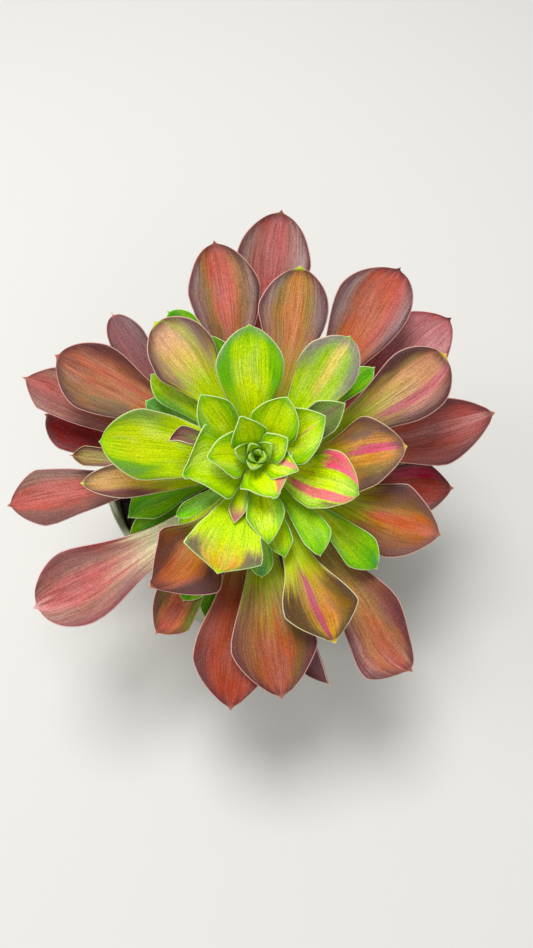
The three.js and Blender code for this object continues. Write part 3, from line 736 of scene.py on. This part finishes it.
def margin_wave(leaf, station, side):
    """How far the margin stands over (mm) and out (share) of its smooth line at a station."""
    height, count, phase = leaf["waves"][0 if side < 0 else 1]
    swell = math.sin(FULL_TURN * count * station + phase) * min(1, station / 0.4)
    slow = math.cos(0.5 * FULL_TURN * count * station + phase)
    quick = math.cos(2.6 * FULL_TURN * count * station + 2 * phase)
    height *= swell * min(1, leaf["width"] / WAVY_WIDTH)
    return height, 1 + WOBBLE * (slow + 0.7 * quick)


def leaf_rows(leaf, rows):
    """Centre, axes, half width, wave, curl and middle thickness at each station."""
    stations = leaf_stations(leaf, rows)
    widest = leaf["widest"]
    turn = math.radians(leaf["turn"])
    # Deeper roots stand further out on the crown.
    root = min(4, 1 + 0.2 * leaf["depth"])
    centre = Vector((root * math.cos(turn), root * math.sin(turn), -leaf["depth"]))
    found = []
    previous = 0
    for station in stations:
        step = leaf_axes(leaf, (previous + station) / 2)[0]
        centre = centre + step * (leaf["length"] * (station - previous))
        end_share = max(0, (station - widest) / (1 - widest))
        waves = [margin_wave(leaf, station, side) for side in (-1, 1)]
        found.append({
            "station": station,
            "centre": centre + leaf_axes(leaf, station)[1] * (leaf["tip"] * end_share**2),
            "axes": leaf_axes(leaf, station),
            "halves": [
                outline(leaf, station, side) * wobble * leaf["width"] / 2
                for side, (_, wobble) in zip((-1, 1), waves)
            ],
            "waves": [height for height, _ in waves],
            "curl": math.radians(
                leaf["cup"] + (BASE_CHANNEL - leaf["cup"]) * max(0, 1 - station / 0.5) ** 2
            ),
            "middle": BASE_THICKNESS + (END_THICKNESS - BASE_THICKNESS) * station,
        })
        previous = station
    return found


def leaf_point(row, share, level):
    """A point of the leaf: share runs across from -1 to 1, level from -1 (lower) to 1 (upper)."""
    along, across, normal = row["axes"]
    curl = row["curl"]
    side = 0 if share < 0 else 1
    half = row["halves"][side]
    sideways = half * math.sin(curl * share) / curl
    lift = half * (1 - math.cos(curl * share)) / curl
    fullness = min(1, half / FULL_HALF)
    lift += row["waves"][side] * fullness * abs(share) ** 3
    groove = GROOVE_DEPTH * math.exp(-((share / GROOVE_WIDTH) ** 2)) * fullness
    thickness = EDGE_THICKNESS + (row["middle"] - EDGE_THICKNESS) * (1 - share * share)
    # The narrow tip thins out.
    thickness *= min(1, 0.35 + half / 3)
    if level == 0:
        sideways += math.copysign(MARGIN_ROUND, share)
    height = lift - groove + 0.5 * thickness * level
    return row["centre"] + across * sideways + normal * height


def leaf_mesh(leaf):
    """A leaf in the head's frame: a thin closed box of a grid, laid along the leaf's rows, that
    tells its material where each point lies."""
    rows = LONG_ROWS if leaf["length"] > LONG_LEAF else SHORT_ROWS
    shape = leaf_rows(leaf, rows)
    made = bmesh.new()
    bmesh.ops.create_grid(made, x_segments=ACROSS_STEPS, y_segments=rows, size=1)
    bmesh.ops.solidify(made, geom=made.faces[:], thickness=1)
    walls = [e for e in made.edges if abs(e.verts[0].co.z - e.verts[1].co.z) > 0.5]
    bmesh.ops.subdivide_edges(made, edges=walls, cuts=1)
    heights = sorted({round(v.co.z, 3) for v in made.verts})
    layers = {name: made.verts.layers.float.new(name) for name in LEAF_LAYERS}
    blade = made.verts.layers.float_vector.new("blade")
    edge_tree = kdtree.KDTree(2 * len(shape))
    for i, row in enumerate(shape):
        for k, side in enumerate((-1, 1)):
            edge_tree.insert(leaf_point(row, side, 0), 2 * i + k)
    edge_tree.balance()
    for vertex in made.verts:
        share = vertex.co.x
        row = shape[round((vertex.co.y + 1) / 2 * rows)]
        level = round(2 * (vertex.co.z - heights[0]) / (heights[-1] - heights[0]) - 1)
        station = row["station"]
        # Fibres fan out with the blade up to where it is widest, then run on to the margin.
        lateral = share
        if station > leaf["widest"]:
            half = row["halves"][0 if share < 0 else 1]
            lateral *= 0.35 + 0.65 * 2 * half / leaf["width"]
        vertex[layers["along"]] = station
        vertex[layers["across"]] = lateral
        vertex[layers["upper"]] = 0 if level < 0 else 1
        middle = leaf_point(row, share, 0.001)
        distance = edge_tree.find(middle)[2]
        vertex[layers["edge"]] = 0 if level == 0 or abs(share) > 0.999 else distance
        # Each leaf reads its patterns at a depth of its own.
        depth = 7.3 * leaf["seed"]
        vertex[blade] = (lateral * leaf["width"] / 2, station * leaf["length"], depth)
        vertex.co = leaf_point(row, share, level)
    bmesh.ops.remove_doubles(made, verts=made.verts[:], dist=TIP_MERGE)
    bmesh.ops.recalc_face_normals(made, faces=made.faces[:])
    return made


def margin_points(leaf):
    """Points along both margins in the head's frame, with the way that the hairs stand."""
    shape = leaf_rows(leaf, HAIR_ROWS)
    found = []
    for side in (-1, 1):
        last = None
        for row in shape:
            if row["station"] < HAIR_START:
                continue
            point = leaf_point(row, side, 0)
            if last is None or (point - last).length > HAIR_SPACING:
                if last is not None:
                    way = (point - last).normalized().cross(row["axes"][2]) * side
                    found.append((0.5 * (point + last), way))
                last = point
    return found


def placed(name, data):
    """A new object in the scene."""
    thing = bpy.data.objects.new(name, data)
    bpy.context.scene.collection.objects.link(thing)
    return thing


def finish_piece(name, made, material, slot, *nodes, place=Matrix()):
    """Turns a bmesh in mm, drawn in the frame place, into a smooth piece of the part that stands
    for CAD nodes."""
    made.transform(Matrix.Scale(MM, 4) @ place)
    for face in made.faces:
        face.smooth = True
    mesh = bpy.data.meshes.new(name)
    made.to_mesh(mesh)
    made.free()
    mesh.materials.append(material)
    piece = placed(name, mesh)
    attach(piece, "root")
    if nodes:
        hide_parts(*nodes)
    return piece


def hair_material(name, colour):
    """Gland hairs on a leaf's margin: short clear threads that catch the light as a pale line."""
    material, tree = new_material(name)
    place = add(tree, "TexCoord", output="Object")
    # The tone changes every 8 mm along the margin.
    tone = {0: grained(tree, place, 0.12 / MM), 1: 0.35, 2: 0.65, 3: 0.8, 4: 1.1}
    tinted = add(tree, "HueSaturation", {2: add(tree, "MapRange", tone), 4: colour})
    surface(tree, {"Base Color": tinted, "Roughness": 0.5, "IOR": 1.4})
    return material


def hair_fringe(name, leaves, material, slot, seed):
    """Short three-sided hairs along the margins of several leaves."""
    rng = random.Random(seed)
    made = bmesh.new()
    for leaf in leaves:
        for point, way in margin_points(leaf):
            way = way + 0.35 * Vector([rng.uniform(-1, 1) for _ in range(3)])
            way.normalize()
            length = HAIR_LENGTH * rng.uniform(0.6, 1.2)
            turn = way.to_track_quat("Z", "Y").to_matrix().to_4x4()
            bmesh.ops.create_cone(
                made,
                cap_ends=True,
                segments=3,
                radius1=HAIR_RADIUS,
                radius2=HAIR_TIP_RADIUS,
                depth=length,
                matrix=Matrix.Translation(point + way * (0.4 * length)) @ turn,
            )
    finish_piece(name, made, material, slot, place=HEAD_FRAME)


# ---- Camera ---------------------------------------------------------------------------------
camera_data = bpy.data.cameras.new("camera")
camera_data.sensor_width = 36
camera_data.lens = 28.1
camera = placed("camera", camera_data)
camera.location = (0.004, -0.142, 0.320)
camera.rotation_euler = (math.radians(27.6), 0, 0)
bpy.context.scene.camera = camera

# ---- Leaves ---------------------------------------------------------------------------------
# Each leaf has a seed of its own; the bud's scales follow the young leaves.
old_leaves = [leaf_sizes(row, *OLD_FOOT, i + 1) for i, row in enumerate(OLD_LEAVES)]
young_leaves = [leaf_sizes(row, *YOUNG_FOOT, i + 51) for i, row in enumerate(YOUNG_LEAVES)]
bud_scales = [leaf_sizes(row, *YOUNG_FOOT, i + 81) for i, row in enumerate(BUD_SCALES)]
for kind, slot, leaves, looks in (
    ("outer", "red_leaf", old_leaves, OLD_LOOKS),
    ("inner", "green_leaf", young_leaves, YOUNG_LOOKS),
):
    for i, (leaf, look) in enumerate(zip(leaves, looks)):
        name = f"{kind}_leaf_{i + 1:02d}"
        skin = leaf_material(f"living_leaf_{name}", look)
        finish_piece(name, leaf_mesh(leaf), skin, slot, f"{kind}_leaves", place=HEAD_FRAME)
bud_skin = leaf_material("living_leaf_bud", BUD_LOOK)
for i, scale in enumerate(bud_scales):
    name = f"bud_scale_{i + 1}"
    finish_piece(name, leaf_mesh(scale), bud_skin, "green_leaf", "inner_leaves", place=HEAD_FRAME)

# Old leaves that stay green have the young ones' pale hairs.
red_hairs = hair_material("gland_hairs_pink", "#ecc0b0")
green_hairs = hair_material("gland_hairs_lime", "#e8efb4")
green_old = [leaf for leaf, look in zip(old_leaves, OLD_LOOKS) if look["rim"] == GREEN["rim"]]
red_old = [leaf for leaf in old_leaves if leaf not in green_old]
hair_fringe("outer_margin_hairs", red_old, red_hairs, "red_leaf", 5)
hair_fringe("inner_margin_hairs", green_old + young_leaves, green_hairs, "green_leaf", 6)


# ---- Pot ------------------------------------------------------------------------------------
def turned(profile, steps, corners=(), radius=0.0):
    """A bmesh of a profile of (radius, height) points spun round Z. corners lists the points
    that are rounded first."""
    made = bmesh.new()
    points = [made.verts.new((across, 0, height)) for across, height in profile]
    for first, second in zip(points, points[1:]):
        made.edges.new((first, second))
    if corners:
        bmesh.ops.bevel(
            made,
            geom=[points[i] for i in corners],
            offset=radius,
            offset_type="OFFSET",
            segments=4,
            profile=0.5,
            affect="VERTICES",
            material=-1,
        )
    bmesh.ops.spin(
        made,
        geom=made.verts[:] + made.edges[:],
        cent=(0, 0, 0),
        axis=(0, 0, 1),
        angle=FULL_TURN,
        steps=steps,
        use_merge=True,
    )
    bmesh.ops.remove_doubles(made, verts=made.verts[:], dist=0.001)
    bmesh.ops.recalc_face_normals(made, faces=made.faces[:])
    return made


def outer_radius(height):
    """The wall's outer radius at a height over the pot's underside."""
    return BASE_RADIUS + (RIM_RADIUS - BASE_RADIUS) * height / POT_HEIGHT


def inner_radius(height):
    """The wall's inner radius at that height."""
    return outer_radius(height) - POT_WALL


def pot_material():
    """Polypropylene, injection moulded in a finely etched mould: an even sage green with a soft
    satin shine, faint flow lines round the wall, and darker patches near the foot."""
    material, tree = new_material("moulded_polypropylene")
    place = add(tree, "TexCoord", output="Object")
    # Flow lines run round the wall, 1 to 2 mm apart, under clouds 22 mm wide.
    flow = grained(tree, place, (0.006 / MM, 0.006 / MM, 0.7 / MM))
    cloud = grained(tree, place, 0.045 / MM, 4)
    # Mould grain 0.4 mm wide, drawn a little coarser than it is so that it shows.
    grain = grained(tree, place, 2.4 / MM)
    height = add(tree, "SeparateXYZ", {0: place}, 2)
    colour = coat(tree, "#959a76", "#a3a886", (cloud, 0.35, 0.7))
    colour = coat(tree, colour, "#b2b696", (flow, 0.5, 0.75, 0, 0.25))
    # Darker in patches over the lowest 14 mm.
    low = (height, 14 * MM, 1 * MM)
    colour = coat(tree, colour, "#6c6554", low, (cloud, 0.45, 0.62, 0, 0.5))
    roughness = add(tree, "MapRange", {0: grain, 1: 0.3, 2: 0.7, 3: 0.26, 4: 0.38})
    finish = {"Base Color": colour, "Roughness": roughness, "IOR": 1.49}
    surface(tree, finish, shifted(tree, grain, (flow, 0.6)), 0.25, 0.05)
    return material


def drilled(made, cutters):
    """A bmesh with other bmeshes cut out of it."""
    things = []
    for shape in [made, *cutters]:
        things.append(placed("cut", bpy.data.meshes.new("cut")))
        shape.to_mesh(things[-1].data)
        shape.free()
    body, *tools = things
    for tool in tools:
        cut = body.modifiers.new("cut", "BOOLEAN")
        cut.object = tool
        cut.operation = "DIFFERENCE"
        cut.solver = "EXACT"
    solid = body.evaluated_get(bpy.context.evaluated_depsgraph_get())
    result = bmesh.new()
    result.from_mesh(bpy.data.meshes.new_from_object(solid))
    for thing in things:
        bpy.data.objects.remove(thing)
    return result


lip_foot = POT_HEIGHT - LIP_DEPTH
pot_profile = [
    (0, 0),
    (BASE_RADIUS - BASE_BEVEL, 0),
    (outer_radius(BASE_BEVEL), BASE_BEVEL),
    (outer_radius(lip_foot) - 0.6, lip_foot),
    (RIM_RADIUS, lip_foot + 0.7),
    (RIM_RADIUS, POT_HEIGHT),
    (RIM_RADIUS - LIP_WIDTH, POT_HEIGHT),
    (RIM_RADIUS - LIP_WIDTH, POT_HEIGHT - 1.2),
    (inner_radius(lip_foot), lip_foot - 2),
    (inner_radius(POT_FLOOR + 1), POT_FLOOR + 1),
    (inner_radius(POT_FLOOR) - 1, POT_FLOOR),
    (0, POT_FLOOR),
]
pot_body = turned(pot_profile, POT_STEPS, corners=(1, 2, 4, 5, 6, 9, 10), radius=0.9)
drills = []
for i in range(DRAIN_COUNT):
    angle = (i + 0.5) / DRAIN_COUNT * FULL_TURN
    drill = bmesh.new()
    place = (DRAIN_CIRCLE * math.cos(angle), DRAIN_CIRCLE * math.sin(angle), POT_FLOOR / 2)
    bmesh.ops.create_cone(
        drill,
        cap_ends=True,
        segments=40,
        radius1=DRAIN_RADIUS,
        radius2=DRAIN_RADIUS,
        depth=3 * POT_FLOOR,
        matrix=Matrix.Translation(place),
    )
    drills.append(drill)
pot_mesh = drilled(pot_body, drills)
pot = finish_piece("round_pot", pot_mesh, pot_material(), "pot_plastic", "pot")
pot.data.set_sharp_from_angle(angle=math.radians(38))


# ---- Soil -----------------------------------------------------------------------------------
def soil_material():
    """Peat and bark compost, loose and slightly damp: near black crumbs with brown fibres and
    a few pale grains of grit."""
    material, tree = new_material("peat_compost")
    place = add(tree, "TexCoord", output="Object")
    # Crumbs 2.4 mm wide lie in clods of 11 mm, with fibres 1 mm thick and grit 4 mm apart.
    crumbs = grained(tree, place, 0.42 / MM, 5, 0.7)
    clods = grained(tree, place, 0.09 / MM, 3)
    fibres = grained(tree, place, (0.9 / MM, 0.16 / MM, 0.9 / MM))
    grit = add(tree, "TexVoronoi", {0: place, 2: 0.26 / MM})
    colour = coat(tree, "#17110c", "#3a2a1d", (crumbs, 0.35, 0.65))
    colour = coat(tree, colour, "#6b4c31", (fibres, 0.62, 0.72, 0, 0.6))
    colour = coat(tree, colour, "#1d1610", (clods, 0.5, 0.7, 0, 0.5))
    colour = coat(tree, colour, "#a39a88", (grit, 0.13, 0.08, 0, 0.7))
    finish = {"Base Color": colour, "Roughness": 0.93, "IOR": 1.4}
    surface(tree, finish, shifted(tree, fibres, (crumbs, 1.4)), 0.8, 1.2)
    return material


def chip_material(name, light, dark):
    """Crumbled bark or expanded grit: matt, pitted, each face a little lighter or darker."""
    material, tree = new_material(name)
    place = add(tree, "TexCoord", output="Object")
    # Pits 1 mm wide and 2.6 mm long, and patches of 7 mm that set one chip off from the next.
    grain = grained(tree, place, (1.1 / MM, 0.38 / MM, 0.8 / MM), 3)
    patch = grained(tree, place, 0.15 / MM)
    colour = coat(tree, dark, light, (grain, 0.35, 0.65))
    colour = coat(tree, colour, dark, (patch, 0.4, 0.7, 0, 0.6))
    surface(tree, {"Base Color": colour, "Roughness": 0.9, "IOR": 1.4}, grain, 0.6, 0.4)
    return material


def soil_level(across, height):
    """The mound's height over the pot's underside at a distance from the middle."""
    wall = inner_radius(SOIL_HEIGHT)
    share = min(1, across / wall)
    return SOIL_HEIGHT + SOIL_MOUND * (1 - share**1.6) + height


soil_floor = POT_FLOOR + 0.3
wall_gap = 0.3
soil_profile = [(0, soil_level(0, 0))]
soil_profile += [(r, soil_level(r, 0)) for r in range(2, 54, 2)]
soil_profile += [
    (inner_radius(SOIL_HEIGHT) - wall_gap - 1, SOIL_HEIGHT - 0.6),
    (inner_radius(SOIL_HEIGHT - 3) - wall_gap, SOIL_HEIGHT - 3),
    (inner_radius(soil_floor + 1.5) - wall_gap - 0.2, soil_floor + 1.5),
    (inner_radius(soil_floor) - wall_gap - 1.5, soil_floor),
    (0, soil_floor),
]
soil_mesh = turned(soil_profile, SOIL_STEPS)
for vertex in soil_mesh.verts:
    if vertex.co.z > SOIL_HEIGHT - 1:
        rise = noise.fractal(vertex.co * 0.22, 1.0, 2.0, 4)
        vertex.co.z += 0.9 * rise
finish_piece("compost", soil_mesh, soil_material(), "potting_soil", "soil")


def chips(name, count, sizes, squash, material, seed):
    """Chips strewn over the soil, each sunk by about a third."""
    rng = random.Random(seed)
    made = bmesh.new()
    for _ in range(count):
        angle = rng.uniform(0, FULL_TURN)
        across = inner_radius(SOIL_HEIGHT) * math.sqrt(rng.uniform(0.03, 0.9))
        size = rng.uniform(*sizes)
        shape = Matrix.Diagonal((size, size * rng.uniform(0.45, 0.9), size * squash, 1))
        tilt = Matrix.Rotation(rng.uniform(-0.5, 0.5), 4, "X") @ Matrix.Rotation(
            rng.uniform(0, FULL_TURN), 4, "Z"
        )
        height = soil_level(across, 0.25 * size * squash)
        place = (across * math.cos(angle), across * math.sin(angle), height)
        bmesh.ops.create_icosphere(
            made, subdivisions=1, radius=1, matrix=Matrix.Translation(place) @ tilt @ shape
        )
    for vertex in made.verts:
        vertex.co += 0.35 * noise.noise_vector(vertex.co * 1.3)
    finish_piece(name, made, material, "potting_soil").data.shade_flat()


chips("bark_chips", 260, (1.4, 3.6), 0.45, chip_material("bark", "#5a4029", "#22170f"), 11)
chips("grit_grains", 130, (0.6, 1.3), 0.85, chip_material("pumice_grit", "#c9c2b4", "#8f8778"), 12)


# ---- Stem and crown -------------------------------------------------------------------------
def bark_material():
    """The stem's thin cork: dry, matt and grey-brown, wrinkled along its length, with darker
    rings where leaves were shed."""
    material, tree = new_material("thin_cork_bark")
    place = add(tree, "TexCoord", output="Object")
    # Wrinkles 0.7 mm wide run up the stem, and rings stand about 2.4 mm apart.
    wrinkles = grained(tree, place, (1.5 / MM, 1.5 / MM, 0.26 / MM), 4)
    rings = grained(tree, place, (0.04 / MM, 0.04 / MM, 0.42 / MM))
    colour = coat(tree, "#54402f", "#8d7862", (wrinkles, 0.35, 0.65))
    colour = coat(tree, colour, "#3d2c20", (rings, 0.52, 0.62, 0, 0.7))
    finish = {"Base Color": colour, "Roughness": 0.85, "IOR": 1.45}
    surface(tree, finish, shifted(tree, wrinkles, (rings, -1.2)), 0.7, 0.6)
    return material


def crown_material():
    """The crown's young stem between the leaf feet: wet green flesh under a thin smooth skin,
    browner where older leaves have dried off."""
    material, tree = new_material("crown_flesh")
    place = add(tree, "TexCoord", output="Object")
    # Scars and fresh skin alternate every 4.5 mm.
    cloud = grained(tree, place, 0.22 / MM, 4)
    height = add(tree, "SeparateXYZ", {0: place}, 2)
    colour = coat(tree, "#6f6a2c", "#84aa2a", (height, 74 * MM, 92 * MM))
    colour = coat(tree, colour, "#57662a", (cloud, 0.4, 0.7, 0, 0.6))
    surface(tree, {"Base Color": colour, "Roughness": 0.55, "IOR": 1.4}, cloud, 0.4, 0.4)
    return material


stem_top = HEAD_FRAME @ Vector((0, 0, -CROWN_FOOT - 0.3))
stem_foot = Vector((stem_top.x, 0.5, 25.3))
stem_pull = (Vector((stem_top.x, 0.5, 38)), Vector((stem_top.x, -1.5, 55)))


def stem_place(share):
    """The stem's centre line and its direction, from its foot (0) to the crown (1)."""
    left = 1 - share
    centre = (
        stem_foot * left**3
        + stem_pull[0] * 3 * share * left**2
        + stem_pull[1] * 3 * share**2 * left
        + stem_top * share**3
    )
    way = (
        (stem_pull[0] - stem_foot) * left**2
        + (stem_pull[1] - stem_pull[0]) * 2 * share * left
        + (stem_top - stem_pull[1]) * share**2
    )
    return centre, way.normalized()


stem_body = bmesh.new()
bmesh.ops.create_cone(stem_body, cap_ends=True, segments=STEM_SIDES, radius1=1, radius2=1, depth=1)
risers = [e for e in stem_body.edges if abs(e.verts[0].co.z - e.verts[1].co.z) > 0.5]
bmesh.ops.subdivide_edges(stem_body, edges=risers, cuts=STEM_STEPS - 1)
for vertex in stem_body.verts:
    share = vertex.co.z + 0.5
    angle = math.atan2(vertex.co.y, vertex.co.x)
    centre, way = stem_place(share)
    side = Vector((1, 0, 0))
    back = way.cross(side).normalized()
    # Scars stand in a spiral; each is a low ledge with a groove over it.
    ring = share * SCAR_RINGS
    ring += 0.5 * math.sin(angle * 2 + 2.1 * math.floor(ring))
    ledge = SCAR_DEPTH * math.sin(FULL_TURN * ring)
    around = Vector((math.cos(angle), math.sin(angle), 9 * share))
    lumps = STEM_LUMPS * noise.noise(around * 1.6)
    radius = STEM_RADIUS - 0.3 + ledge + lumps
    vertex.co = centre + side * (radius * math.cos(angle)) + back * (radius * math.sin(angle))
bmesh.ops.recalc_face_normals(stem_body, faces=stem_body.faces[:])
finish_piece("woody_stem", stem_body, bark_material(), "woody_stem", "stem")

crown_skin = crown_material()
outer_crown = [
    (0, -CROWN_FOOT),
    (STEM_RADIUS, -CROWN_FOOT),
    (CROWN_RADIUS, -CROWN_FOOT + 3),
    (CROWN_RADIUS, -CROWN_SPLIT - 0.3),
    (0, -CROWN_SPLIT - 0.3),
]
inner_crown = [
    (0, -CROWN_SPLIT),
    (CROWN_RADIUS, -CROWN_SPLIT),
    (0.7 * CROWN_RADIUS, -0.4 * CROWN_SPLIT),
    (1.6, -1.5),
    (0, -0.6),
]
for name, profile, corners, radius, slot, node in (
    ("outer_crown", outer_crown, (1, 2), 1, "red_leaf", "outer_leaves"),
    ("inner_crown", inner_crown, (2, 3), 0.8, "green_leaf", "inner_leaves"),
):
    crown = turned(profile, CROWN_STEPS, corners, radius)
    finish_piece(name, crown, crown_skin, slot, node, place=HEAD_FRAME)

# ---- Floor, light ---------------------------------------------------------------------------
floor_mesh = bmesh.new()
bmesh.ops.create_grid(floor_mesh, x_segments=1, y_segments=1, size=3)
floor_data = bpy.data.meshes.new("floor")
floor_mesh.to_mesh(floor_data)
floor_mesh.free()
floor_material, floor_tree = new_material("matt_pale_floor")
surface(floor_tree, {"Base Color": "#d2d0cc", "Roughness": 0.9})
floor_data.materials.append(floor_material)
placed("floor", floor_data)

world = bpy.data.worlds.new("soft_room")
bpy.context.scene.world = world
world.use_nodes = True
background = world.node_tree.nodes["Background"]
background.inputs["Color"].default_value = (1, 1, 1, 1)
background.inputs["Strength"].default_value = 0.4


def soft_light(name, place, height, size, power):
    """A round lamp that shines at a height over the middle of the floor."""
    data = bpy.data.lights.new(name, "AREA")
    data.shape = "DISK"
    data.size = size
    data.energy = power
    light = placed(name, data)
    light.location = place
    way = Vector((0, 0, height)) - Vector(place)
    light.rotation_mode = "QUATERNION"
    light.rotation_quaternion = way.to_track_quat("-Z", "Y")


soft_light("ceiling", (-0.15, 0.25, 1.1), 0.08, 0.55, 10.5)
soft_light("left_window", (-0.95, -0.1, 0.55), 0.06, 0.5, 3.6)
soft_light("front_fill", (0.3, -0.9, 0.8), 0.08, 0.7, 2)

bpy.context.scene.view_settings.view_transform = "Standard"
